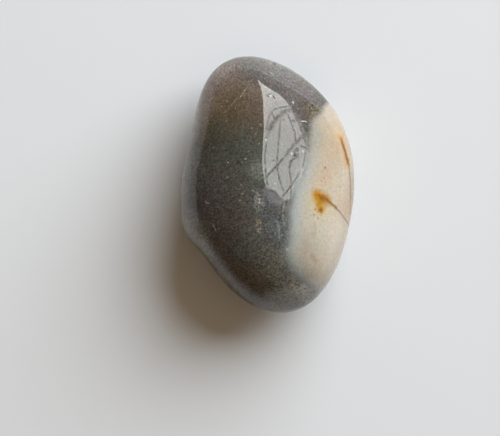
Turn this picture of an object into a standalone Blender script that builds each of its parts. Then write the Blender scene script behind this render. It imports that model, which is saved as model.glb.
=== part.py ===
"""A tumbled agate: one natural pebble, worn round and polished all over. Metres, +Z up.

The stone lies on its flattest side. Seen from above it is a long, slightly kidney-shaped oval, with a
long worn slope down to its -X, -Y side. It is one solid, because it formed as one piece.

Its form is a three-axis oval, turned a little in plan and worn back to a set of faces. Each face is a
plane at some distance from the heart of the stone, and oval and faces melt into each other with soft
edges, as tumbling leaves them. A few broad swells and hollows give the rim its kidney shape.
"""

import math

import bmesh
import bpy
from mathutils import Vector

MM = 0.001

# Driving dimensions, in millimetres and degrees.
STONE = "agate"
SPHERE_LEVEL = 5
OVAL_HALF_WIDTH = 12.1
OVAL_HALF_LENGTH = 16.1
OVAL_HALF_HEIGHT = 9.2
OVAL_TURN = 15.0  # anticlockwise in plan, from the long axis along Y
EDGE_TIGHTNESS = 7.0  # the higher, the smaller the rounding between one worn face and the next
UNDERSIDE_WEAR = 0.1  # how much of the underside is worn dead flat

# Each worn face: the way it looks round the compass (0 is +X, 90 is +Y), how far it looks up (+) or
# down (-) from level, and its distance from the heart of the stone.
WORN_FACES = {
    "west rim": (170, 5, 11.0),
    "southwest rim": (220, 0, 13.3),
    "southeast rim": (340, -5, 12.3),
    "east rim": (345, -15, 13.7),
    "northeast rim": (45, 25, 14.1),
    "bright slope": (20, 60, 6.8),
    "dark slope": (145, 65, 9.0),
    "north shoulder": (55, 45, 11.2),
    "south shoulder": (285, 45, 13.0),
    "southwest shoulder": (215, 40, 12.6),
    "east shoulder": (0, 35, 10.0),
    "underside": (0, -90, 7.8),
    "west belly": (200, -45, 10.6),
    "east belly": (10, -45, 10.6),
}

# Each swell (+) or hollow (-) of the rim: the way it looks round the compass, its height, and how far
# it reaches round the stone. All of them fade the same way above and below the level of the heart.
RIM_SWELLS = {
    "waist": (145, -0.5, 18),
    "southwest flank": (220, -0.4, 18),
    "southwest corner": (210, 0.7, 14),
}
RIM_SWELL_FADE = 28

# Polished chalcedony, mostly a dark greenish grey.
BODY_COLOR = (0.085, 0.076, 0.066, 1.0)
BODY_ROUGHNESS = 0.1
BODY_METALLIC = 0.0
CHALCEDONY_IOR = 1.54


def clear_scene():
    for old in list(bpy.data.objects):
        bpy.data.objects.remove(old, do_unlink=True)


def looking(compass, upward):
    """The unit vector that looks that way round the compass and that far up."""
    around = math.radians(compass)
    up = math.radians(upward)
    return Vector((math.cos(up) * math.cos(around), math.cos(up) * math.sin(around), math.sin(up)))


def oval_reach(direction):
    """How far the unworn oval reaches from its heart in this direction."""
    turn = math.radians(OVAL_TURN)
    across = direction.x * math.cos(turn) + direction.y * math.sin(turn)
    along = direction.y * math.cos(turn) - direction.x * math.sin(turn)
    scaled = Vector((across / OVAL_HALF_WIDTH, along / OVAL_HALF_LENGTH, direction.z / OVAL_HALF_HEIGHT))
    return 1 / scaled.length


def worn_reach(direction, faces):
    """How far the stone reaches in this direction once the faces are worn, before its swells."""
    total = oval_reach(direction) ** -EDGE_TIGHTNESS
    for normal, distance in faces:
        facing = max(0.0, direction.dot(normal))
        total += (facing / distance) ** EDGE_TIGHTNESS
    return total ** (-1 / EDGE_TIGHTNESS)


def rim_swell(direction):
    """How much the swells of the rim add in this direction, less what its hollows take away."""
    compass = math.degrees(math.atan2(direction.y, direction.x))
    upward = math.degrees(math.atan2(direction.z, math.hypot(direction.x, direction.y)))
    height = 0.0
    for middle, most, reach in RIM_SWELLS.values():
        around = (compass - middle + 180) % 360 - 180
        away = math.hypot(around / reach, upward / RIM_SWELL_FADE)
        height += most * math.exp(-away * away)
    return height


def shape_stone(mesh):
    """Turns the unit sphere into the worn stone, in millimetres, with its heart at the origin."""
    faces = [(looking(compass, upward), distance) for compass, upward, distance in WORN_FACES.values()]
    for vert in mesh.verts:
        direction = vert.co.normalized()
        vert.co = direction * (worn_reach(direction, faces) + rim_swell(direction))
    lowest = min(vert.co.z for vert in mesh.verts) + UNDERSIDE_WEAR
    for vert in mesh.verts:
        vert.co.z = max(vert.co.z, lowest)


def stand_on_origin(mesh):
    """Puts the middle of the stone's plan over the origin, and its underside at Z = 0."""
    xs = [vert.co.x for vert in mesh.verts]
    ys = [vert.co.y for vert in mesh.verts]
    zs = [vert.co.z for vert in mesh.verts]
    foot = Vector(((min(xs) + max(xs)) / 2, (min(ys) + max(ys)) / 2, min(zs)))
    bmesh.ops.translate(mesh, verts=mesh.verts, vec=-foot)


def chalcedony_material():
    material = bpy.data.materials.new("polished chalcedony")
    material.use_nodes = True
    material.diffuse_color = BODY_COLOR
    surface = material.node_tree.nodes["Principled BSDF"]
    surface.inputs["Base Color"].default_value = BODY_COLOR
    surface.inputs["Roughness"].default_value = BODY_ROUGHNESS
    surface.inputs["Metallic"].default_value = BODY_METALLIC
    surface.inputs["IOR"].default_value = CHALCEDONY_IOR
    return material


def make_stone(collection):
    shaping = bmesh.new()
    bmesh.ops.create_icosphere(shaping, subdivisions=SPHERE_LEVEL, radius=1.0)
    shape_stone(shaping)
    stand_on_origin(shaping)
    bmesh.ops.scale(shaping, verts=shaping.verts, vec=(MM, MM, MM))
    bmesh.ops.recalc_face_normals(shaping, faces=shaping.faces)
    mesh = bpy.data.meshes.new(STONE)
    shaping.to_mesh(mesh)
    shaping.free()
    mesh.shade_smooth()
    mesh.materials.append(chalcedony_material())
    stone = bpy.data.objects.new(STONE, mesh)
    collection.objects.link(stone)


def main():
    clear_scene()
    collection = bpy.data.collections.new("tumbled agate")
    bpy.context.scene.collection.children.link(collection)
    make_stone(collection)


main()
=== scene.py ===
import math
import random

import bmesh
import bpy
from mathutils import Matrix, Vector, kdtree, noise


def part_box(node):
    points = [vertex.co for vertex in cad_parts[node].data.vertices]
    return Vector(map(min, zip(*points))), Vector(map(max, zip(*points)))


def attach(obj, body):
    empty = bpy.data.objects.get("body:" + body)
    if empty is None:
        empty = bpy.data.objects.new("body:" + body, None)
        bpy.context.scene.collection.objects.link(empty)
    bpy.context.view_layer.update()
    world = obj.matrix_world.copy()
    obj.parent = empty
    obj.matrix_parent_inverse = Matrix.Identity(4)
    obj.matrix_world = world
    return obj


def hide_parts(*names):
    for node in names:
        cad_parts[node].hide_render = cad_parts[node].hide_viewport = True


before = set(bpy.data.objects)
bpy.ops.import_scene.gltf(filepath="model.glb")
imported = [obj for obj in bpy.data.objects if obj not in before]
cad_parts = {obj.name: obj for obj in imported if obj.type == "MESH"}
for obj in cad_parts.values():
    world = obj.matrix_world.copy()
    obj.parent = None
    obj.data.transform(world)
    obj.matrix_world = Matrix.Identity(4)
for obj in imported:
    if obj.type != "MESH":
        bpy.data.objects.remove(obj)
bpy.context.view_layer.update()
mm = 0.001
print("frame loaded")


def linearColor(hexText):  # an sRGB hex colour as the linear colour that shaders take
    channels = [int(hexText[at:at + 2], 16) / 255 for at in (1, 3, 5)]
    return [c / 12.92 if c <= 0.04045 else ((c + 0.055) / 1.055) ** 2.4 for c in channels] + [1.0]


def addNode(tree, kind, inputs=(), stops=(), curve=(), **settings):
    node = tree.nodes.new("ShaderNode" + kind)
    for name, value in settings.items():
        setattr(node, name, value)
    for at, (place, color) in enumerate(stops):  # a ramp's colours, from its left end
        stop = node.color_ramp.elements[at] if at < 2 else node.color_ramp.elements.new(place)
        stop.position = place
        stop.color = color
    for at, point in enumerate(curve):  # a float curve's points, from its left end
        if 0 < at < len(curve) - 1:
            node.mapping.curves[0].points.new(*point)
        else:
            node.mapping.curves[0].points[0 if at == 0 else -1].location = point
    for name, value in dict(inputs).items():
        if isinstance(value, bpy.types.Node):
            value = value.outputs[0]
        if isinstance(value, bpy.types.NodeSocket):
            tree.links.new(value, node.inputs[name])
        else:
            node.inputs[name].default_value = value
    return node


# The stone's form: the same oval and worn faces as the solid, on a much finer mesh.

stone = {
    "cuts": 127,  # 128 x 128 squares on each side of the starting cube, about 0.15 mm each
    "ovalHalf": (12.1, 16.1, 9.2),  # mm
    "ovalTurn": 15,  # degrees, anticlockwise in plan
    "tightness": 7.0,  # how sharply one worn face turns into the next
    "undersideWear": 0.1,  # mm
    "faces": {  # name: (compass, upward, distance from the heart in mm)
        "westRim": (170, 5, 11.0),
        "southwestRim": (220, 0, 13.3),
        "southeastRim": (340, -5, 12.3),
        "eastRim": (345, -15, 13.7),
        "northeastRim": (45, 25, 14.1),
        "brightSlope": (20, 60, 6.8),
        "darkSlope": (145, 65, 9.0),
        "northShoulder": (55, 45, 11.2),
        "southShoulder": (285, 45, 13.0),
        "southwestShoulder": (215, 40, 12.6),
        "eastShoulder": (0, 35, 10.0),
        "underside": (0, -90, 7.8),
        "westBelly": (200, -45, 10.6),
        "eastBelly": (10, -45, 10.6),
    },
    "swells": {  # name: (compass, height in mm, reach in degrees)
        "waist": (145, -0.5, 18),
        "southwestFlank": (220, -0.4, 18),
        "southwestCorner": (210, 0.7, 14),
    },
    "swellFade": 28,  # degrees above and below the level of the heart
    "heartHeight": 7.38,  # mm above the floor
    "waves": ((6.0, 0.035), (2.2, 0.006)),  # mm: length and height of the wear's gentle unevenness
    "calm": 0.3,  # mm above the flat underside, below which there are no waves
}


def looking(compass, upward):
    around, up = math.radians(compass), math.radians(upward)
    return Vector((math.cos(up) * math.cos(around), math.cos(up) * math.sin(around), math.sin(up)))


def reachOf(direction, faceNormals):
    turn = math.radians(stone["ovalTurn"])
    across = direction.x * math.cos(turn) + direction.y * math.sin(turn)
    along = direction.y * math.cos(turn) - direction.x * math.sin(turn)
    halfWidth, halfLength, halfHeight = stone["ovalHalf"]
    oval = Vector((across / halfWidth, along / halfLength, direction.z / halfHeight)).length
    total = oval ** stone["tightness"]
    for normal, distance in faceNormals:
        total += (max(0.0, direction.dot(normal)) / distance) ** stone["tightness"]
    reach = total ** (-1 / stone["tightness"])
    compass = math.degrees(math.atan2(direction.y, direction.x))
    upward = math.degrees(math.atan2(direction.z, math.hypot(direction.x, direction.y)))
    for middle, height, width in stone["swells"].values():
        around = (compass - middle + 180) % 360 - 180
        away = math.hypot(around / width, upward / stone["swellFade"])
        reach += height * math.exp(-away * away)
    return reach


def shapeStone(mesh):
    faceNormals = [(looking(compass, upward), distance)
                   for compass, upward, distance in stone["faces"].values()]
    for vert in mesh.verts:
        spread = [math.tan(along * math.pi / 4) for along in vert.co]  # evens out the squares
        direction = Vector(spread).normalized()
        vert.co = direction * reachOf(direction, faceNormals)
    lowest = min(vert.co.z for vert in mesh.verts) + stone["undersideWear"]
    for vert in mesh.verts:
        vert.co.z = max(vert.co.z, lowest)
    low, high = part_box("agate")
    middle = (low + high) / 2 / mm
    xs = [vert.co.x for vert in mesh.verts]
    ys = [vert.co.y for vert in mesh.verts]
    foot = Vector(((min(xs) + max(xs)) / 2 - middle.x, (min(ys) + max(ys)) / 2 - middle.y, lowest))
    bmesh.ops.translate(mesh, verts=mesh.verts, vec=-foot)


def wearStone(mesh):  # gentle unevenness, fading out on the flat that the stone lies on
    mesh.normal_update()
    for vert in mesh.verts:
        fade = min(1.0, max(0.0, vert.co.z - stone["calm"]))
        height = sum(size * noise.noise(vert.co / length) for length, size in stone["waves"])
        vert.co += vert.normal * height * fade


# Pits and nicks left by knocks in the tumbler: (x, y, radius, depth) in mm, on the upper side.
pits = {
    "slopePitUpper": (3.45, 3.8, 0.3, 0.04),
    "slopePitLower": (3.15, 3.25, 0.26, 0.04),
    "slopePitTail": (2.75, 2.55, 0.22, 0.04),
    "tipPit": (0.0, 10.6, 0.26, 0.08),
    "tipTick": (-0.45, 10.85, 0.14, 0.05),
    "edgeBite": (0.85, 10.35, 0.28, 0.06),
    "slopeDotLeft": (1.9, 7.55, 0.18, 0.04),
    "slopeDotLow": (0.6, 2.7, 0.15, 0.04),
    "westNickUpper": (-8.9, 6.5, 0.30, 0.10),
    "westNickMiddle": (-10.0, 0.6, 0.35, 0.08),
    "westNickLower": (-9.5, -2.4, 0.22, 0.06),
    "southNickLeft": (-1.2, -14.4, 0.35, 0.10),
    "southNickMiddle": (0.3, -14.9, 0.30, 0.10),
    "southNickRight": (3.3, -14.3, 0.25, 0.08),
    "northNick": (0.3, 14.6, 0.45, 0.10),
}
# how far a pit's edge strays from round, as a share of its radius, and its bulges per mm
pitEdge = (0.3, 4)
# more knocks, drawn all over the stone; only those between these heights in mm are made
knocks = {"count": 60, "radius": (0.12, 0.34), "depth": (0.02, 0.06), "between": (1, 11), "seed": 11}


def sinkPit(mesh, tree, center, radius, depth):
    most, bulges = pitEdge
    for place, index, distance in tree.find_range(center, radius * (1 + most)):
        vert = mesh.verts[index]
        ragged = radius * (1 + most * noise.noise(place * bulges))
        share = distance / ragged
        if share < 1:
            vert.co -= vert.normal * depth * (1 - share * share) ** 2


def addPits(mesh):
    mesh.normal_update()
    mesh.verts.ensure_lookup_table()
    tree = kdtree.KDTree(len(mesh.verts))
    upper = kdtree.KDTree(len(mesh.verts))  # in plan, the upper side alone
    for vert in mesh.verts:
        tree.insert(vert.co, vert.index)
        if vert.normal.z > 0.02:
            upper.insert((vert.co.x, vert.co.y, 0), vert.index)
    tree.balance()
    upper.balance()
    for x, y, radius, depth in pits.values():
        nearest = upper.find((x, y, 0))[1]
        sinkPit(mesh, tree, mesh.verts[nearest].co.copy(), radius, depth)
    chance = random.Random(knocks["seed"])
    for _ in range(knocks["count"]):
        nearest = chance.randrange(len(mesh.verts))
        radius = chance.uniform(*knocks["radius"])
        depth = chance.uniform(*knocks["depth"])
        if knocks["between"][0] < mesh.verts[nearest].co.z < knocks["between"][1]:
            sinkPit(mesh, tree, mesh.verts[nearest].co.copy(), radius, depth)


def makeStone(material):
    shaping = bmesh.new()
    bmesh.ops.create_cube(shaping, size=2)
    bmesh.ops.subdivide_edges(shaping, edges=shaping.edges[:], cuts=stone["cuts"], use_grid_fill=True)
    shapeStone(shaping)
    wearStone(shaping)
    addPits(shaping)
    bmesh.ops.scale(shaping, verts=shaping.verts, vec=(mm, mm, mm))
    bmesh.ops.recalc_face_normals(shaping, faces=shaping.faces)
    mesh = bpy.data.meshes.new("tumbled_agate")
    shaping.to_mesh(mesh)
    shaping.free()
    mesh.shade_smooth()
    mesh.materials.append(material)
    made = bpy.data.objects.new("tumbled_agate", mesh)
    bpy.context.scene.collection.objects.link(made)
    return made


# Chalcedony, which is very fine-grained quartz: tumbled until it has a wet-looking gloss, a little
# cloudy inside, with small chips and dull spots where the polish hasn't reached.
chalcedony = {
    "ior": 1.54,
    "polish": 0.05,  # roughness
    "dullness": 0.5,  # roughness where it isn't polished
    "subsurface": 0.15,
    "subsurfaceScale": 0.6,  # mm that light wanders in it
    "bodyColor": "#4a4640",
    "drift": (4.0, 1.0),  # mm from one bulge of a cloud's edge to the next, and how far it wanders
    # soft clouds in the body, with painted reflection and painted shade among them at the rim: centre and
    # radius in mm, colour, strength
    "clouds": {
        "umberNorth": ((-1.4, 7.6, 13.4), 3.6, "#594b3f", 0.8),
        "umberTip": ((-2.6, 10.8, 11.8), 2.8, "#6f6055", 0.8),
        "honeyNorth": ((-6.2, 8.8, 11.8), 4.8, "#5f4e34", 0.9),
        "mossMiddle": ((-3.2, 2.6, 14.4), 5.6, "#464840", 0.9),
        "plumWest": ((-7.2, -2.6, 13.0), 5.0, "#534b4b", 0.9),
        "inkSouth": ((-5.2, -8.4, 12.6), 5.4, "#615955", 0.9),
        "inkToe": ((-2.4, -11.2, 12.2), 3.8, "#605446", 0.9),
        "mossEast": ((-1.6, -7.6, 14.2), 3.4, "#62635e", 0.8),
        "mossSouth": ((0.8, -10.0, 13.6), 3.2, "#747367", 0.9),
        "smokeSouth": ((1.4, -5.4, 14.8), 3.0, "#575b5b", 0.8),
        "smokeCrown": ((0.2, -2.4, 15.2), 2.8, "#4e5152", 0.8),
        "mauveShoulder": ((4.0, 10.4, 9.8), 5.2, "#675f5d", 1.0),
        "oliveWedge": ((5.2, 8.7, 9.8), 2.0, "#4f463d", 0.9),
        # The next seven are lighter where the rim mirrors the pale floor: painted reflection over the
        # stone's own tone.
        "lilacRimPaintedReflection": ((-5.0, 13.0, 8.8), 3.6, "#8d7d74", 0.9),
        "mauveRimPaintedReflection": ((-8.4, 9.2, 8.8), 4.2, "#9b897e", 0.8),
        "greyRimPaintedReflection": ((-10.2, 0.6, 9.4), 4.4, "#78746b", 0.9),
        "mistRimPaintedReflection": ((-9.0, -5.0, 10.4), 2.6, "#99958c", 0.8),
        "streakRimPaintedReflection": ((-7.6, -8.0, 10.6), 1.8, "#7f7e70", 0.8),
        "streakFootPaintedReflection": ((-5.4, -10.8, 10.2), 1.5, "#736e62", 0.6),
        "hazeRimPaintedReflection": ((-7.6, -5.8, 11.6), 2.2, "#86857d", 0.7),
        # Painted shade: darker and browner low on the south-west rim, where it meets the shadow under the
        # stone.
        "rimFootPaintedShade": ((-8.0, -10.6, 5.5), 3.4, "#2c1e17", 0.9),
        # Painted reflection over the stone's own tone: lighter where the north rim mirrors the pale floor.
        "paleRimPaintedReflection": ((0.5, 15.0, 7.4), 5.0, "#76716c", 0.9),
        "smokeWest": ((-0.9, 1.8, 15.0), 1.8, "#6c6f68", 0.7),
        "greyToe": ((4.4, -11.8, 10.6), 4.2, "#a09d95", 1.0),
        "duskToe": ((1.4, -13.8, 9.4), 3.0, "#77746b", 0.8),
        "mauveFoot": ((0.9, -2.25, 15.2), 1.7, "#4e4b4b", 0.8),
        "mossWest": ((-6.2, 7.0, 12.4), 2.0, "#515547", 0.6),
    },
    # mm from one patch to the next, and how much their shades vary, or their hues or shine
    "mottle": (1.0, 0.10),
    "grain": (0.24, 0.75, 0.5),  # mm from one grain to the next, and its strength at both ends below
    "grainEnds": (-6.0, 9.0),  # mm along Y, the end where it is strongest and where it is faintest
    "hues": (0.9, 0.06),
    "sheen": (0.3, 0.15),
    "fleckSpacing": 0.9,  # mm between the small pale flecks
    "fleckRadius": 0.12,
    "fleckColor": "#a8a498",
    "fleckStrength": 0.8,
    "ringSpacing": 1.5,  # mm between the faint rings that the stone grew by
    "ringStrength": 0.16,
    "ringHeights": (10.0, 5.0),  # mm above the floor, from where they start to where they are strongest
}

# The cream layer: where it starts, as (y, x) in mm, and how it leans with depth.
band = {
    "edge": ((-16, 7.2), (-13.9, 6.3), (-13.1, 5.8), (-12.3, 5.2), (-11.8, 4.5), (-11.4, 3.6), (-10.8, 2.8),
             (-9.9, 2.15), (-8.3, 1.55), (-6.6, 1.85), (-4.8, 2.0), (-3.3, 2.05), (-1.3, 2.5), (0.3, 2.95),
             (1.4, 3.55), (2.8, 4.3), (4.0, 4.65), (5.2, 4.85), (6.2, 5.0), (7.1, 5.2), (7.8, 5.5),
             (8.3, 6.05), (8.7, 6.65), (9.2, 7.1), (9.8, 7.8), (10.5, 9.2), (16, 13)),
    "span": 16,  # mm, half the length that the edge is given for
    "lean": -0.12,
    "leanHeight": 12,  # mm above the floor
    "layers": ((0.0, "#83827f"), (0.6, "#939591"), (1.3, "#a6a49c"), (2.2, "#afa596"), (3.3, "#b6ab9b"),
               (6.0, "#c0b4a3"), (9.0, "#b4a595")),  # (mm in from its edge, colour)
    "fade": (-0.7, 0.8),  # mm, over which it shows through the clear skin beside it
    "wander": (2.0, 0.3),  # mm from one bulge of its edge to the next, and how far it wanders
    "grain": (0.3, 0.12),  # as the body's mottle
    "hues": 0.35,  # how much of the body's play of hues is seen in it
    # tints within it, as the body's clouds, and painted shade at its outer right rim
    "clouds": {
        "blush": ((8.8, 5.2, 8.8), 6.0, "#b29b80", 0.8),
        "creamCrown": ((7.4, 9.8, 8.4), 2.2, "#b4a693", 0.9),
        "creamSlope": ((5.6, 5.6, 11.0), 1.8, "#979388", 0.7),
        "peachFlank": ((9.4, -2.6, 8.6), 2.8, "#b39172", 0.6),
        "peachMiddle": ((6.8, 0.7, 11.2), 1.8, "#b89c80", 0.6),
        "tanToe": ((6.2, -10.2, 10.8), 2.4, "#c6b8a4", 0.5),
        "greySide": ((4.4, -7.0, 13.0), 2.2, "#989183", 0.4),
        # Painted shade: darker along the outermost right rim of the cream layer.
        "rimPaintedShade": ((11.0, -1.0, 6.0), 4.5, "#8f8478", 0.6),
    },
}

# Iron stains and specks in the cream layer, and painted shade in the nicks at the rim: centre and
# radius in mm, colour, strength.
stains = {
    "halo": ((6.2, -2.3, 11.9), 2.0, "#bda768", 0.7),
    "blotchTip": ((5.75, -1.2, 12.2), 0.85, "#b07a18", 1.0),
    "blotch": ((6.3, -1.5, 12.0), 0.95, "#a86e14", 1.1),
    "blotchShin": ((6.1, -2.2, 12.1), 0.75, "#ad7416", 1.0),
    "blotchFoot": ((6.2, -2.95, 12.0), 0.75, "#ab7824", 1.0),
    "blotchCore": ((6.55, -1.65, 11.8), 0.55, "#6f430f", 1.0),
    "blotchVein": ((6.1, -1.35, 12.0), 0.25, "#7d4f12", 0.8),
    "blotchCoreFoot": ((6.2, -3.1, 12.0), 0.38, "#85520f", 1.0),
    "blotchTail": ((7.0, -1.85, 11.5), 0.95, "#a56f24", 0.9),
    "crackHead": ((8.55, 5.7, 8.7), 0.9, "#c7a45c", 0.45),
    "speckUpper": ((6.8, 1.9, 10.9), 0.17, "#4e3a26", 1.2),
    "speckMiddle": ((6.6, 0.75, 11.2), 0.15, "#6b5138", 1.0),
    "speckLower": ((6.35, 0.4, 11.4), 0.14, "#6b5138", 0.8),
    "speckFoot": ((5.8, 0.0, 12.0), 0.14, "#7d6248", 0.6),
    "plumSpeckLeft": ((5.55, -3.0, 12.5), 0.17, "#6a4a44", 1.0),
    "plumSpeckFoot": ((5.5, -3.6, 12.6), 0.15, "#6a4a44", 0.9),
    "plumSpeckRight": ((5.95, -4.0, 12.4), 0.15, "#7a5c54", 0.7),
    # Painted shade: the nicks below are darkened over the pits in the rim.
    "northNick": ((0.75, 14.4, 7.9), 0.3, "#4a423c", 1.0),
    "westNick": ((-8.75, 6.8, 8.6), 0.25, "#3f3833", 1.0),
    "southNick": ((-1.35, -14.05, 9.2), 0.25, "#2c2622", 1.1),
    "southNickRight": ((0.3, -14.8, 8.5), 0.22, "#2c2622", 1.1),
    "toeNick": ((3.2, -14.6, 8.4), 0.6, "#5c5a50", 0.7),
}

# Thin marks on the upper side: each is a round arc through three places (x, y) in mm, the reach of
# its soft edge in mm and its strength.
scratches = {
    "crownOuter": ((0.41, 8.6), (1.58, 9.08), (2.77, 9.14), 0.18, 1.0),
    "crownInner": ((1.4, 8.6), (2.0, 8.85), (2.9, 8.7), 0.16, 0.7),
    "crownBand": ((2.47, 8.84), (0.98, 7.7), (0.0, 6.1), 0.5, 1.0),
    "crownBandTail": ((0.05, 6.3), (-0.1, 5.7), (-0.2, 5.2), 0.36, 0.5),
    "leftOuter": ((0.3, 8.4), (-0.02, 7.3), (-0.28, 6.2), 0.22, 0.7),
    "leftInner": ((1.3, 7.8), (0.6, 6.9), (0.1, 5.6), 0.22, 0.4),
    "leftTick": ((0.41, 8.55), (0.53, 8.16), (0.71, 7.73), 0.17, 1.2),
    "leftLow": ((-0.17, 4.83), (-0.38, 3.2), (-0.28, 1.39), 0.18, 1.0),
    "leftFoot": ((-0.3, 1.6), (-0.2, 0.6), (-0.03, -0.28), 0.18, 1.0),
    "middleHigh": ((1.44, 7.77), (1.27, 5.31), (1.0, 2.37), 0.18, 0.8),
    "middleLow": ((1.0, 2.5), (1.22, 1.0), (1.78, -0.96), 0.18, 0.95),
    "slopeHigh": ((2.27, 8.46), (2.72, 7.2), (3.16, 6.01), 0.17, 0.9),
    "slopeMiddle": ((3.12, 6.15), (3.22, 5.4), (3.2, 4.83), 0.17, 0.9),
    "slopeCap": ((2.77, 7.37), (2.98, 7.52), (3.2, 7.28), 0.17, 1.6),
    "slopeLow": ((2.47, 1.89), (2.66, 0.4), (2.64, -1.4), 0.17, 0.9),
    "rightInner": ((3.06, 8.36), (3.85, 6.6), (4.53, 4.54), 0.17, 0.9),
    "rightOuter": ((3.45, 8.3), (4.15, 6.6), (4.75, 4.9), 0.15, 0.5),
    "rightLow": ((4.5, 4.0), (4.3, 2.95), (4.1, 2.0), 0.17, 0.9),
    "rightLowOuter": ((4.85, 4.0), (4.7, 3.1), (4.4, 2.2), 0.20, 0.6),
    "crossingLow": ((-0.42, 0.6), (0.8, 1.87), (1.98, 3.25), 0.24, 1.1),
    "crossingHigh": ((1.8, 3.05), (3.0, 4.55), (4.13, 5.71), 0.36, 0.8),
    "footCrossing": ((1.64, -1.55), (2.77, -0.15), (3.75, 1.39), 0.2, 1.0),
    "footTwin": ((2.6, -1.9), (3.1, -0.5), (3.7, 1.3), 0.22, 0.4),
    "chipTop": ((3.84, 4.43), (4.2, 4.42), (4.55, 4.24), 0.20, 2.0),
    "chipTopTail": ((4.5, 4.25), (4.7, 4.24), (4.9, 4.3), 0.16, 1.5),
    "chipStroke": ((3.5, 4.24), (3.36, 3.8), (3.5, 3.36), 0.26, 2.0),
    "chipBlot": ((2.95, 3.85), (3.2, 3.7), (3.45, 3.8), 0.22, 1.6),
    "chipFoot": ((3.5, 3.4), (3.36, 3.1), (3.16, 2.96), 0.20, 1.6),
    "chipLow": ((3.16, 2.96), (2.8, 2.75), (2.66, 2.28), 0.20, 1.6),
    "chipTrail": ((2.66, 2.3), (2.55, 2.1), (2.47, 1.85), 0.17, 1.4),
    "crownHair": ((-4.6, -0.7), (-2.4, -0.4), (-0.8, 0.1), 0.12, 0.4),
}

# Hair-fine cracks in the body that catch the light, as the scratches are given.
glints = {
    "slopeDash": ((3.95, 7.42), (4.25, 7.46), (4.6, 7.4), 0.09, 0.7),
    "slopeVein": ((5.0, 6.1), (5.7, 5.85), (6.05, 5.1), 0.12, 0.12),
    "westTick": ((-6.5, -4.7), (-6.36, -5.1), (-6.15, -5.5), 0.10, 0.5),
    "plumTick": ((-7.5, -2.2), (-7.2, -2.15), (-6.9, -2.35), 0.10, 0.25),
    "northTick": ((-3.3, 10.2), (-3.0, 10.7), (-2.5, 11.4), 0.10, 0.2),
    "honeyTick": ((-5.2, 8.4), (-4.3, 9.3), (-3.6, 10.2), 0.10, 0.12),
    "smokeVein": ((1.0, -4.4), (1.3, -5.6), (1.2, -6.6), 0.25, 0.14),
    "smokeWisp": ((2.0, -2.2), (1.7, -3.6), (1.9, -4.8), 0.25, 0.12),
    "toeVein": ((-0.6, -10.2), (0.2, -9.6), (0.6, -8.8), 0.15, 0.12),
    "footVein": ((-2.0, -0.8), (-1.4, -1.0), (-0.9, -1.5), 0.13, 0.15),
}

# Cracks in the cream layer, as the scratches are given, and the colour that iron has given each.
cracks = {
    "rimHalo": ((8.6, 5.9), (9.12, 3.9), (9.6, 2.0), 0.55, 0.75, "#b78544"),
    "rimCrackHead": ((8.7, 5.5), (9.22, 3.9), (9.7, 2.2), 0.24, 0.9, "#6e4720"),
    "rimCrackTail": ((9.68, 2.3), (9.84, 0.2), (9.88, -2.2), 0.18, 0.7, "#86603f"),
    "rimCrackFoot": ((9.88, -2.0), (9.9, -2.8), (9.85, -3.6), 0.16, 0.4, "#86603f"),
    "stainSmear": ((6.6, -1.65), (7.3, -2.2), (8.2, -2.95), 0.38, 0.6, "#96682c"),
    "stainCrack": ((6.6, -1.6), (7.9, -2.65), (9.0, -3.9), 0.18, 0.7, "#6b4c30"),
    "stainCrackTail": ((8.95, -3.85), (9.5, -4.6), (9.95, -5.7), 0.15, 0.7, "#75574a"),
    "amberSmear": ((4.9, -8.2), (5.3, -8.7), (5.8, -9.3), 0.45, 0.4, "#a87d4c"),
    "tanSmear": ((5.3, -4.4), (5.45, -5.4), (5.3, -6.4), 0.5, 0.3, "#a58c66"),
    "tanSmearLow": ((4.4, -6.4), (4.3, -7.4), (4.5, -8.4), 0.6, 0.25, "#a58a6c"),
}

# Where the polish hasn't reached, on the upper side: centre (x, y), half-lengths and turn (degrees).
# Each patch has a ragged edge on its far side, and fades everywhere else.
dullPatches = {
    "foot": ((0.03, -1.98), (2.0, 1.3), -31),
}
anyHeight = 1e6  # mm, so that a patch reaches through the stone and is cut by its top alone
dullStray = (0.7, 0.35)  # mm from one tooth of the ragged edge to the next, and how far it strays
# how each fades out at its outline, on its near side and at its two ends, in shares of its half-lengths
dullFades = {"outline": (1.06, 0.94), "near": (-0.3, 0.8), "ends": (1.0, 0.4)}

# Clouds, stains and chips are given by the radius they seem to have: their soft foot is this much wider.
softFoot = 1.3

# Small chips that catch the light: centre and radius in mm, strength.
sparks = {
    "tipLeft": ((-0.15, 10.85, 11.9), 0.13, 0.7),
    "tipRight": ((0.3, 10.4, 11.8), 0.15, 0.7),
    "chipHigh": ((4.15, 3.9, 12.0), 0.18, 0.9),
    "chipLow": ((3.05, 3.15, 12.8), 0.12, 0.8),
    "chipLeft": ((2.85, 3.6, 12.8), 0.12, 0.6),
    "leftDot": ((-0.25, 5.2, 13.8), 0.13, 0.8),
    "southEdge": ((2.2, -7.7, 14.3), 0.19, 0.6),
    "crownDot": ((-2.7, 2.9, 14.5), 0.13, 0.5),
    "westDot": ((-4.8, 0.7, 14.5), 0.11, 0.3),
    "eyeDot": ((-3.0, -1.2, 15.2), 0.13, 0.5),
    "eyeDotLow": ((-3.4, -1.9, 15.2), 0.13, 0.4),
    "plumDot": ((-7.2, -2.3, 13.5), 0.13, 0.4),
    "honeyDot": ((-5.3, 9.7, 11.8), 0.14, 0.4),
    "northDot": ((0.6, 13.3, 10.0), 0.28, 0.8),
}

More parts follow.
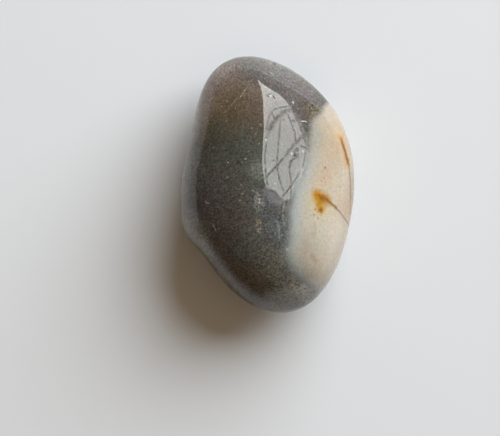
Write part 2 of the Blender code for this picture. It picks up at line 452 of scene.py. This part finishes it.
# Crumbly inclusions: middle and half-length in mm, slenderness, colour.
crumbs = {
    "foot": ((-1.1, -2.2, 15.3), 1.6, 1.7, "#aaa69c"),
    "footTan": ((-1.15, -4.55, 15.2), 0.9, 1.6, "#b79b7c"),
    "footLow": ((-1.05, -5.4, 15.2), 0.7, 1.6, "#a8a59b"),
    "wedge": ((5.4, 8.9, 9.6), 1.7, 1.0, "#8f8468"),
    "toe": ((1.9, -8.6, 14.0), 1.5, 1.4, "#8d8f84"),
}
crumbLength = 0.28  # mm from one crumb to the next
crumbEdge = (0.47, 0.6)  # of the noise, from no crumb to a whole one
glintColor = "#d6d2c8"
scratchColor = "#8f8f8c"
scratchTint = 0.3
scratchRoughness = 0.4  # as a share of the way from polished to dull
plainShine = 0.5  # the specular level that an IOR alone gives
scratchShine = 0.0  # and the level in the deepest scratches, which scatter the rest
upperSide = (6.5, 7.5)  # mm above the floor, over which the marks of the upper side take over
markStray = (0.7, 0.12)  # mm from one waver of a mark to the next, and how far it wavers
raggedStray = (0.45, 0.25)  # the same for the edges of stains, flecks and chips

# Fine marks below the upper side: each lies where a plane cuts the surface, near its middle. Lengths
# are in mm, and the marks are spread over these heights, in degrees from the level of the heart.
hairlines = {"count": 12, "upward": (-60, 35), "reach": (1.0, 4.5), "halfWidth": 0.07,
             "strength": (0.3, 0.9), "seed": 5}

# Healed cracks low on the far sides, filled with paler quartz: middle (mm), the way the sheet faces
# (compass, upward), its reach and half its thickness in mm.
seams = {
    "west": ((-9.6, -1.5, 4.6), (70, 68), 8.0, 0.16),
    "north": ((1.0, 14.6, 4.4), (200, 40), 5.5, 0.12),
    "south": ((-2.5, -14.0, 4.0), (330, 25), 5.0, 0.14),
}
seamColor = "#a9a69c"
seamStrength = 0.6
seamStray = (3.0, 0.7)  # mm from one bend of a seam to the next, and how far it bends


def circleThrough(start, middle, end):  # centre and radius of the circle through three places
    (ax, ay), (bx, by), (cx, cy) = start, middle, end
    twice = 2 * (ax * (by - cy) + bx * (cy - ay) + cx * (ay - by))
    a, b, c = ax * ax + ay * ay, bx * bx + by * by, cx * cx + cy * cy
    x = (a * (by - cy) + b * (cy - ay) + c * (ay - by)) / twice
    y = (a * (cx - bx) + b * (ax - cx) + c * (bx - ax)) / twice
    return Vector((x, y, 0)), math.hypot(ax - x, ay - y)


arcEnds = (1.15, 0.8)  # where an arc has faded out and where it is whole, as shares of its half
sheetFade = 2.5  # how steeply a sheet's mark fades towards its reach


def arcMark(tree, plan, start, middle, end, halfWidth, strength):  # its strength on its line, 0 beside it
    center, radius = circleThrough(start, middle, end)
    last = Vector((*end, 0))
    half = (Vector((*start, 0)) + last) / 2
    top = center + (half - center).normalized() * radius
    reach = addNode(tree, "VectorMath", {0: plan, 1: center}, operation="DISTANCE").outputs["Value"]
    off = addNode(tree, "Math", {0: reach, 1: radius}, operation="SUBTRACT")
    off = addNode(tree, "Math", {0: off}, operation="ABSOLUTE")
    line = addNode(tree, "MapRange", {"Value": off, "From Min": halfWidth, "From Max": 0.0},
                   interpolation_type="SMOOTHSTEP")
    along = addNode(tree, "VectorMath", {0: plan, 1: top}, operation="DISTANCE").outputs["Value"]
    most = (last - top).length
    ends = addNode(tree, "MapRange", {"Value": along, "From Min": most * arcEnds[0],
                                      "From Max": most * arcEnds[1], "To Max": strength})
    return addNode(tree, "Math", {0: line, 1: ends}, operation="MULTIPLY")


def arcMarks(tree, plan, arcs):  # the strongest of several marks
    total = 0.0
    for arc in arcs.values():
        total = addNode(tree, "Math", {0: total, 1: arcMark(tree, plan, *arc)}, operation="MAXIMUM")
    return total


def sheetMark(tree, place, middle, facing, reach, halfWidth):  # 1 where a thin sheet meets the surface
    off = addNode(tree, "VectorMath", {0: place, 1: facing}, operation="DOT_PRODUCT").outputs["Value"]
    off = addNode(tree, "Math", {0: off, 1: Vector(middle).dot(facing)}, operation="SUBTRACT")
    off = addNode(tree, "Math", {0: off}, operation="ABSOLUTE")
    line = addNode(tree, "MapRange", {"Value": off, "From Min": halfWidth, "From Max": 0.0},
                   interpolation_type="SMOOTHSTEP")
    near = blob(tree, place, middle, reach)
    near = addNode(tree, "Math", {0: near, 1: sheetFade, 2: 0.0}, operation="MULTIPLY_ADD",
                   use_clamp=True)
    return addNode(tree, "Math", {0: line, 1: near}, operation="MULTIPLY")


def blob(tree, place, center, radius):  # 1 at the centre, falling smoothly to 0 at the radius
    away = addNode(tree, "VectorMath", {0: place, 1: center}, operation="DISTANCE").outputs["Value"]
    return addNode(tree, "MapRange", {"Value": away, "From Min": radius, "From Max": 0.0},
                   interpolation_type="SMOOTHSTEP")


def tintBy(tree, color, share, hexText, strength):  # the colour, turned towards another where share is 1
    share = addNode(tree, "Math", {0: share, 1: strength}, operation="MULTIPLY")
    return addNode(tree, "MixRGB", {"Fac": share, "Color1": color, "Color2": linearColor(hexText)})


noiseDetail = 3.0
noiseReach = (0.3, 0.7)  # what its values nearly all lie between


def patchShade(tree, place, length, strength):  # about 1, lower or higher from one patch to the next
    patches = addNode(tree, "TexNoise", {"Vector": place, "Scale": 1 / length, "Detail": noiseDetail,
                                         "Roughness": 0.6})
    least, most = noiseReach
    return addNode(tree, "MapRange", {"Value": patches, "From Min": least, "From Max": most,
                                      "To Min": 1 - strength, "To Max": 1 + strength})


def strayBy(tree, place, length, most):  # the places, moved by up to so many mm
    stray = addNode(tree, "TexNoise", {"Vector": place, "Scale": 1 / length, "Detail": noiseDetail})
    stray = addNode(tree, "VectorMath", {0: stray.outputs["Color"], 1: (0.5, 0.5, 0.5)},
                    operation="SUBTRACT")
    stray = addNode(tree, "VectorMath", {0: stray, "Scale": 2 * most}, operation="SCALE")
    return addNode(tree, "VectorMath", {0: place, 1: stray}, operation="ADD")


def bandInward(tree, place):  # mm inside the cream layer, and below 0 outside it
    axes = addNode(tree, "SeparateXYZ", {0: strayBy(tree, place, *band["wander"])})
    share = addNode(tree, "MapRange", {"Value": axes.outputs["Y"], "From Min": -band["span"],
                                       "From Max": band["span"]})
    curve = [((y / band["span"] + 1) / 2, (x / band["span"] + 1) / 2) for y, x in band["edge"]]
    edge = addNode(tree, "FloatCurve", {"Value": share}, curve=curve)
    edge = addNode(tree, "MapRange", {"Value": edge, "To Min": -band["span"], "To Max": band["span"]})
    inward = addNode(tree, "Math", {0: axes.outputs["X"], 1: edge}, operation="SUBTRACT")
    sunk = addNode(tree, "Math", {0: axes.outputs["Z"], 1: band["leanHeight"]}, operation="SUBTRACT")
    return addNode(tree, "Math", {0: sunk, 1: band["lean"], 2: inward}, operation="MULTIPLY_ADD")


def bodyColor(tree, place):
    drifted = strayBy(tree, place, *chalcedony["drift"])
    color = linearColor(chalcedony["bodyColor"])
    for center, radius, hexText, strength in chalcedony["clouds"].values():
        color = tintBy(tree, color, blob(tree, drifted, center, radius * softFoot), hexText, strength)
    crumbly = addNode(tree, "TexNoise", {"Vector": place, "Scale": 1 / crumbLength, "Detail": 4.0,
                                         "Roughness": 0.7, "Distortion": 0.8})
    crumbly = addNode(tree, "MapRange", {"Value": crumbly, "From Min": crumbEdge[0],
                                         "From Max": crumbEdge[1]})
    for center, radius, slenderness, hexText in crumbs.values():
        slender = addNode(tree, "VectorMath", {0: place, 1: center}, operation="SUBTRACT")
        slender = addNode(tree, "VectorMath", {0: slender, 1: (slenderness, 1.0, 1.0)},
                          operation="MULTIPLY")
        share = blob(tree, slender, (0, 0, 0), radius)
        share = addNode(tree, "Math", {0: crumbly, 1: share}, operation="MULTIPLY")
        color = tintBy(tree, color, share, hexText, 1.0)
    return color


def bodyShade(tree, place, inward):
    turn = 2 * math.pi / chalcedony["ringSpacing"]
    turn = addNode(tree, "Math", {0: inward, 1: turn}, operation="MULTIPLY")
    ring = addNode(tree, "Math", {0: turn}, operation="SINE")
    start, full = chalcedony["ringHeights"]
    low = addNode(tree, "MapRange", {"Value": addNode(tree, "SeparateXYZ", {0: place}).outputs["Z"],
                                     "From Min": start, "From Max": full,
                                     "To Max": chalcedony["ringStrength"]})
    shade = addNode(tree, "Math", {0: ring, 1: low, 2: 1.0}, operation="MULTIPLY_ADD")
    shade = addNode(tree, "Math", {0: shade, 1: patchShade(tree, place, *chalcedony["mottle"])},
                    operation="MULTIPLY")
    length, strongest, faintest = chalcedony["grain"]
    south, north = chalcedony["grainEnds"]
    grain = addNode(tree, "MapRange", {"Value": addNode(tree, "SeparateXYZ", {0: place}).outputs["Y"],
                                       "From Min": south, "From Max": north,
                                       "To Min": patchShade(tree, place, length, strongest),
                                       "To Max": patchShade(tree, place, length, faintest)})
    return addNode(tree, "Math", {0: shade, 1: grain}, operation="MULTIPLY")


def bandColor(tree, place, inward):
    deepest = band["layers"][-1][0]
    layerAt = addNode(tree, "Math", {0: inward, 1: deepest}, operation="DIVIDE")
    stops = [(depth / deepest, linearColor(hexText)) for depth, hexText in band["layers"]]
    color = addNode(tree, "ValToRGB", {"Fac": layerAt}, stops=stops)
    drifted = strayBy(tree, place, *chalcedony["drift"])
    for center, radius, hexText, strength in band["clouds"].values():
        color = tintBy(tree, color, blob(tree, drifted, center, radius * softFoot), hexText, strength)
    return color


def dullShare(tree, place):  # 1 where the polish hasn't reached
    ragged = strayBy(tree, place, *dullStray)
    total = 0.0
    for (x, y), (along, across), turn in dullPatches.values():
        inPatch = addNode(tree, "Mapping", {"Vector": ragged, "Location": (x, y, 0),
                                            "Rotation": (0, 0, math.radians(turn)),
                                            "Scale": (along, across, anyHeight)}, vector_type="TEXTURE")
        away = addNode(tree, "VectorMath", {0: inPatch}, operation="LENGTH").outputs["Value"]
        share = addNode(tree, "MapRange", {"Value": away, "From Min": dullFades["outline"][0],
                                           "From Max": dullFades["outline"][1]})
        axes = addNode(tree, "SeparateXYZ", {0: inPatch})
        far = addNode(tree, "MapRange", {"Value": axes.outputs["Y"], "From Min": dullFades["near"][0],
                                         "From Max": dullFades["near"][1]})
        side = addNode(tree, "Math", {0: axes.outputs["X"]}, operation="ABSOLUTE")
        side = addNode(tree, "MapRange", {"Value": side, "From Min": dullFades["ends"][0],
                                          "From Max": dullFades["ends"][1]})
        share = addNode(tree, "Math", {0: share, 1: far}, operation="MULTIPLY")
        share = addNode(tree, "Math", {0: share, 1: side}, operation="MULTIPLY")
        total = addNode(tree, "Math", {0: total, 1: share}, operation="MAXIMUM")
    return total


def hairlineShare(tree, place):
    faceNormals = [(looking(compass, upward), distance)
                   for compass, upward, distance in stone["faces"].values()]
    chance = random.Random(hairlines["seed"])
    heart = Vector((0, 0, stone["heartHeight"]))
    total = 0.0
    for _ in range(hairlines["count"]):
        way = looking(chance.uniform(0, 360), chance.uniform(*hairlines["upward"]))
        facing = looking(chance.uniform(0, 360), chance.uniform(-90, 90))
        middle = heart + way * reachOf(way, faceNormals)
        share = sheetMark(tree, place, middle, facing, chance.uniform(*hairlines["reach"]),
                          hairlines["halfWidth"])
        share = addNode(tree, "Math", {0: share, 1: chance.uniform(*hairlines["strength"])},
                        operation="MULTIPLY")
        total = addNode(tree, "Math", {0: total, 1: share}, operation="MAXIMUM")
    return total


def agateMaterial():
    material = bpy.data.materials.new("polished chalcedony")
    material.use_nodes = True
    tree = material.node_tree
    surface = tree.nodes["Principled BSDF"]
    surface.inputs["IOR"].default_value = chalcedony["ior"]
    surface.inputs["Subsurface Weight"].default_value = chalcedony["subsurface"]
    surface.inputs["Subsurface Scale"].default_value = chalcedony["subsurfaceScale"] * mm
    surface.inputs["Subsurface Radius"].default_value = (1.0, 0.7, 0.5)

    coordinates = addNode(tree, "TexCoord").outputs["Object"]
    place = addNode(tree, "Mapping", {"Vector": coordinates, "Scale": (1 / mm,) * 3})  # in mm
    shaky = strayBy(tree, place, *markStray)
    inward = bandInward(tree, place)

    inBand = addNode(tree, "MapRange", {"Value": inward, "From Min": band["fade"][0],
                                        "From Max": band["fade"][1]}, interpolation_type="SMOOTHSTEP")
    color = addNode(tree, "MixRGB", {"Fac": inBand, "Color1": bodyColor(tree, place),
                                     "Color2": bandColor(tree, place, inward)})
    for middle, (compass, upward), reach, halfWidth in seams.values():
        share = sheetMark(tree, strayBy(tree, place, *seamStray), middle, looking(compass, upward),
                          reach, halfWidth)
        color = tintBy(tree, color, share, seamColor, seamStrength)
    ragged = strayBy(tree, place, *raggedStray)
    for center, radius, hexText, strength in stains.values():
        color = tintBy(tree, color, blob(tree, ragged, center, radius * softFoot), hexText, strength)

    # what is seen from above is laid on the upper side alone
    top = addNode(tree, "MapRange", {"Value": addNode(tree, "SeparateXYZ", {0: place}).outputs["Z"],
                                     "From Min": upperSide[0], "From Max": upperSide[1]})
    plan = addNode(tree, "VectorMath", {0: shaky, 1: (1, 1, 0)}, operation="MULTIPLY")
    for *arc, hexText in cracks.values():
        share = addNode(tree, "Math", {0: arcMark(tree, plan, *arc), 1: top}, operation="MULTIPLY")
        color = tintBy(tree, color, share, hexText, 1.0)
    scratched = addNode(tree, "MapRange", {"Value": top, "To Min": hairlineShare(tree, shaky),
                                           "To Max": arcMarks(tree, plan, scratches)})

    flecks = addNode(tree, "TexVoronoi", {"Vector": ragged, "Scale": 1 / chalcedony["fleckSpacing"]})
    near = chalcedony["fleckRadius"] / chalcedony["fleckSpacing"]
    fleck = addNode(tree, "MapRange", {"Value": flecks.outputs["Distance"], "From Min": near,
                                       "From Max": near / 2})
    chosen = addNode(tree, "SeparateXYZ", {0: flecks.outputs["Color"]}).outputs["X"]
    fleck = addNode(tree, "Math", {0: fleck, 1: chosen}, operation="MULTIPLY")
    color = tintBy(tree, color, fleck, chalcedony["fleckColor"], chalcedony["fleckStrength"])
    sparkle = addNode(tree, "Math", {0: arcMarks(tree, plan, glints), 1: top}, operation="MULTIPLY")
    for center, radius, strength in sparks.values():
        share = addNode(tree, "Math", {0: blob(tree, ragged, center, radius * softFoot), 1: strength},
                        operation="MULTIPLY")
        sparkle = addNode(tree, "Math", {0: sparkle, 1: share}, operation="MAXIMUM")
    color = tintBy(tree, color, sparkle, glintColor, 1.0)
    color = tintBy(tree, color, scratched, scratchColor, scratchTint)

    # its shades and hues vary from patch to patch
    shade = addNode(tree, "MapRange", {"Value": inBand, "To Min": bodyShade(tree, place, inward),
                                       "To Max": patchShade(tree, place, *band["grain"])})
    color = addNode(tree, "MixRGB", {"Fac": 1.0, "Color1": color, "Color2": shade}, blend_type="MULTIPLY")
    hueLength, hueStrength = chalcedony["hues"]
    gain = 2 * hueStrength / (noiseReach[1] - noiseReach[0])
    hues = addNode(tree, "TexNoise", {"Vector": place, "Scale": 1 / hueLength, "Detail": noiseDetail})
    hues = addNode(tree, "VectorMath", {0: hues.outputs["Color"], 1: (gain,) * 3,
                                        2: (1 - gain / 2,) * 3}, operation="MULTIPLY_ADD")
    calm = addNode(tree, "MapRange", {"Value": inBand, "To Min": 1.0, "To Max": band["hues"]})
    color = addNode(tree, "MixRGB", {"Fac": calm, "Color1": color, "Color2": hues}, blend_type="MULTIPLY")
    tree.links.new(color.outputs[0], surface.inputs["Base Color"])

    rough = addNode(tree, "Math", {0: scratched, 1: scratchRoughness}, operation="MULTIPLY")
    rough = addNode(tree, "Math", {0: rough, 1: dullShare(tree, place)}, operation="MAXIMUM")
    rough = addNode(tree, "Math", {0: rough, 1: sparkle}, operation="MAXIMUM")
    rough = addNode(tree, "MapRange", {"Value": rough, "To Min": chalcedony["polish"],
                                       "To Max": chalcedony["dullness"]})
    tree.links.new(rough.outputs[0], surface.inputs["Roughness"])
    shine = addNode(tree, "MapRange", {"Value": scratched, "To Min": plainShine, "To Max": scratchShine})
    shine = addNode(tree, "Math", {0: shine, 1: patchShade(tree, place, *chalcedony["sheen"])},
                    operation="MULTIPLY")
    tree.links.new(shine.outputs[0], surface.inputs["Specular IOR Level"])
    return material


agate = makeStone(agateMaterial())
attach(agate, "root")
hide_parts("agate")
print("stone made:", len(agate.data.polygons), "squares")


# The stage: a plain pale floor, a softbox and a low dark card that only the polish shows, one skylight
# that sheds the light, and a dim room. Lengths are in metres where nothing else is said.

floor = {"half": 1.5, "color": "#e6e6e8", "roughness": 0.9, "shine": 0.2}
softbox = {
    "facing": -10,  # degrees, the compass way from the stone straight to the softbox's plane
    "away": 0.45,  # metres from the stone to that plane
    # its corners, along the plane and up it, as shares of that distance
    "corners": ((0.505, 0.80), (0.53, 0.72), (0.57, 0.665), (0.62, 0.62), (0.67, 0.60), (0.75, 0.58),
                (0.87, 0.555), (1.0, 0.535), (1.15, 0.50), (1.3, 0.50), (1.68, 0.59), (2.15, 0.79),
                (3.15, 1.16), (6.0, 2.0), (12.0, 3.5), (12.0, 3.7), (4.69, 2.36), (3.1, 2.2), (2.3, 2.2),
                (1.7, 2.1), (1.5, 2.28), (1.4, 2.35), (1.25, 2.26), (1.1, 2.12), (0.95, 1.97), (0.82, 1.8),
                (0.6, 1.12), (0.52, 0.95)),
    "radiance": (6.5, 8.0),  # at its near end and its far end
    "ends": (1.15, 2.2),  # where those are along it, as the corners are given
    "color": "#fcfcf8",
}
# a low dark card beyond the stone's foot, which the polish mirrors there instead of the far floor
card = {"from": (-0.036, -0.0135), "to": (0.002, -0.0375), "height": 0.02, "clear": 0.009, "ends": 0.008}
skylight = {"compass": 53, "upward": 30, "away": 0.9, "halfAngle": 30, "radiance": 6.45,
            "color": "#f0f9ff"}
# its light straight up and level; "wall" is the height up to which it stays level, as a sine
room = {"up": 0.34, "level": 0.07, "wall": 0.35, "color": "#ffe2bd", "backdrop": 0.75}
camera = {"over": (-2.14, -4.02), "height": 350, "lens": 205.9, "sensor": 36, "clip": (10, 10000)}  # mm


def makeFloor():
    paper = bpy.data.materials.new("matt paper")
    paper.use_nodes = True
    surface = paper.node_tree.nodes["Principled BSDF"]
    surface.inputs["Base Color"].default_value = linearColor(floor["color"])
    surface.inputs["Roughness"].default_value = floor["roughness"]
    surface.inputs["Specular IOR Level"].default_value = floor["shine"]
    shaping = bmesh.new()
    bmesh.ops.create_grid(shaping, x_segments=1, y_segments=1, size=floor["half"])
    mesh = bpy.data.meshes.new("floor")
    shaping.to_mesh(mesh)
    shaping.free()
    mesh.materials.append(paper)
    made = bpy.data.objects.new("floor", mesh)
    bpy.context.scene.collection.objects.link(made)


def hideFromCamera(made):  # only the stone's polish shows it
    made.visible_camera = False
    made.visible_diffuse = False
    made.visible_shadow = False
    bpy.context.scene.collection.objects.link(made)


def stageMaterial(name):
    material = bpy.data.materials.new(name)
    material.use_nodes = True
    surface = material.node_tree.nodes["Principled BSDF"]
    surface.inputs["Base Color"].default_value = (0, 0, 0, 1)
    surface.inputs["Specular IOR Level"].default_value = 0.0
    return material, material.node_tree, surface


def flatSheet(name, corners, material):
    shaping = bmesh.new()
    bmesh.ops.contextual_create(shaping, geom=[shaping.verts.new(corner) for corner in corners])
    mesh = bpy.data.meshes.new(name)
    shaping.to_mesh(mesh)
    shaping.free()
    mesh.materials.append(material)
    return bpy.data.objects.new(name, mesh)


def makeSoftbox():  # what the polish mirrors; the skylight sheds the light
    forward = looking(softbox["facing"], 0)
    sideways = looking(softbox["facing"] + 90, 0)
    glow, tree, surface = stageMaterial("lit white cloth")
    place = addNode(tree, "TexCoord").outputs["Object"]
    along = addNode(tree, "VectorMath", {0: place, 1: sideways / softbox["away"]},
                    operation="DOT_PRODUCT").outputs["Value"]
    near, far = softbox["ends"]
    nearGlow, farGlow = softbox["radiance"]
    radiance = addNode(tree, "MapRange", {"Value": along, "From Min": near, "From Max": far,
                                          "To Min": nearGlow, "To Max": farGlow})
    surface.inputs["Emission Color"].default_value = linearColor(softbox["color"])
    tree.links.new(radiance.outputs[0], surface.inputs["Emission Strength"])
    corners = [(forward + sideways * along + Vector((0, 0, up))) * softbox["away"]
               for along, up in softbox["corners"]]
    hideFromCamera(flatSheet("softbox", corners, glow))


def makeCard():
    felt, tree, surface = stageMaterial("dark felt")
    surface.inputs["Emission Color"].default_value = linearColor(room["color"])  # as dark as the room
    surface.inputs["Emission Strength"].default_value = room["level"]
    start = Vector((*card["from"], 0))
    end = Vector((*card["to"], 0))
    place = addNode(tree, "TexCoord").outputs["Object"]
    height = addNode(tree, "SeparateXYZ", {0: place}).outputs["Z"]
    thick = addNode(tree, "MapRange", {"Value": height, "From Max": card["clear"]})
    for near, far in ((start, end), (end, start)):
        inward = addNode(tree, "VectorMath", {0: place, 1: near}, operation="SUBTRACT")
        inward = addNode(tree, "VectorMath", {0: inward, 1: (far - near).normalized()},
                         operation="DOT_PRODUCT").outputs["Value"]
        inward = addNode(tree, "MapRange", {"Value": inward, "From Max": card["ends"]})
        thick = addNode(tree, "Math", {0: thick, 1: inward}, operation="MULTIPLY")
    tree.links.new(thick.outputs[0], surface.inputs["Alpha"])
    up = Vector((0, 0, card["height"]))
    hideFromCamera(flatSheet("card", (start, end, end + up, start + up), felt))


def makeSkylight():
    way = looking(skylight["compass"], skylight["upward"])
    across = 2 * skylight["away"] * math.tan(math.radians(skylight["halfAngle"]))
    lamp = bpy.data.lights.new("skylight", "AREA")
    lamp.shape = "DISK"
    lamp.size = across
    lamp.energy = skylight["radiance"] * math.pi * math.pi / 4 * across * across  # watts
    lamp.color = linearColor(skylight["color"])[:3]
    made = bpy.data.objects.new("skylight", lamp)
    made.location = way * skylight["away"]
    made.rotation_euler = (-way).to_track_quat("-Z", "Y").to_euler()
    made.visible_camera = False
    made.visible_glossy = False
    bpy.context.scene.collection.objects.link(made)


def makeRoom():
    world = bpy.data.worlds.new("room")
    bpy.context.scene.world = world
    world.use_nodes = True
    tree = world.node_tree
    way = addNode(tree, "TexCoord").outputs["Generated"]
    height = addNode(tree, "SeparateXYZ", {0: way}).outputs["Z"]
    light = addNode(tree, "MapRange", {"Value": height, "From Min": room["wall"], "From Max": 1.0,
                                       "To Min": room["level"], "To Max": room["up"]})
    tinted = addNode(tree, "MixRGB", {"Fac": 1.0, "Color1": linearColor(room["color"]), "Color2": light},
                     blend_type="MULTIPLY")
    seen = addNode(tree, "LightPath").outputs["Is Camera Ray"]
    shown = addNode(tree, "MixRGB", {"Fac": seen, "Color1": tinted,
                                     "Color2": (room["backdrop"],) * 3 + (1,)})
    tree.links.new(shown.outputs[0], tree.nodes["Background"].inputs["Color"])


def makeCamera():
    data = bpy.data.cameras.new("camera")
    data.lens = camera["lens"]
    data.sensor_width = camera["sensor"]
    data.clip_start, data.clip_end = (along * mm for along in camera["clip"])
    made = bpy.data.objects.new("camera", data)
    made.location = Vector((*camera["over"], camera["height"])) * mm  # it looks straight down
    bpy.context.scene.collection.objects.link(made)
    bpy.context.scene.camera = made


makeFloor()
makeSoftbox()
makeCard()
makeSkylight()
makeRoom()
makeCamera()
bpy.context.scene.view_settings.view_transform = "Standard"
print("stage made")
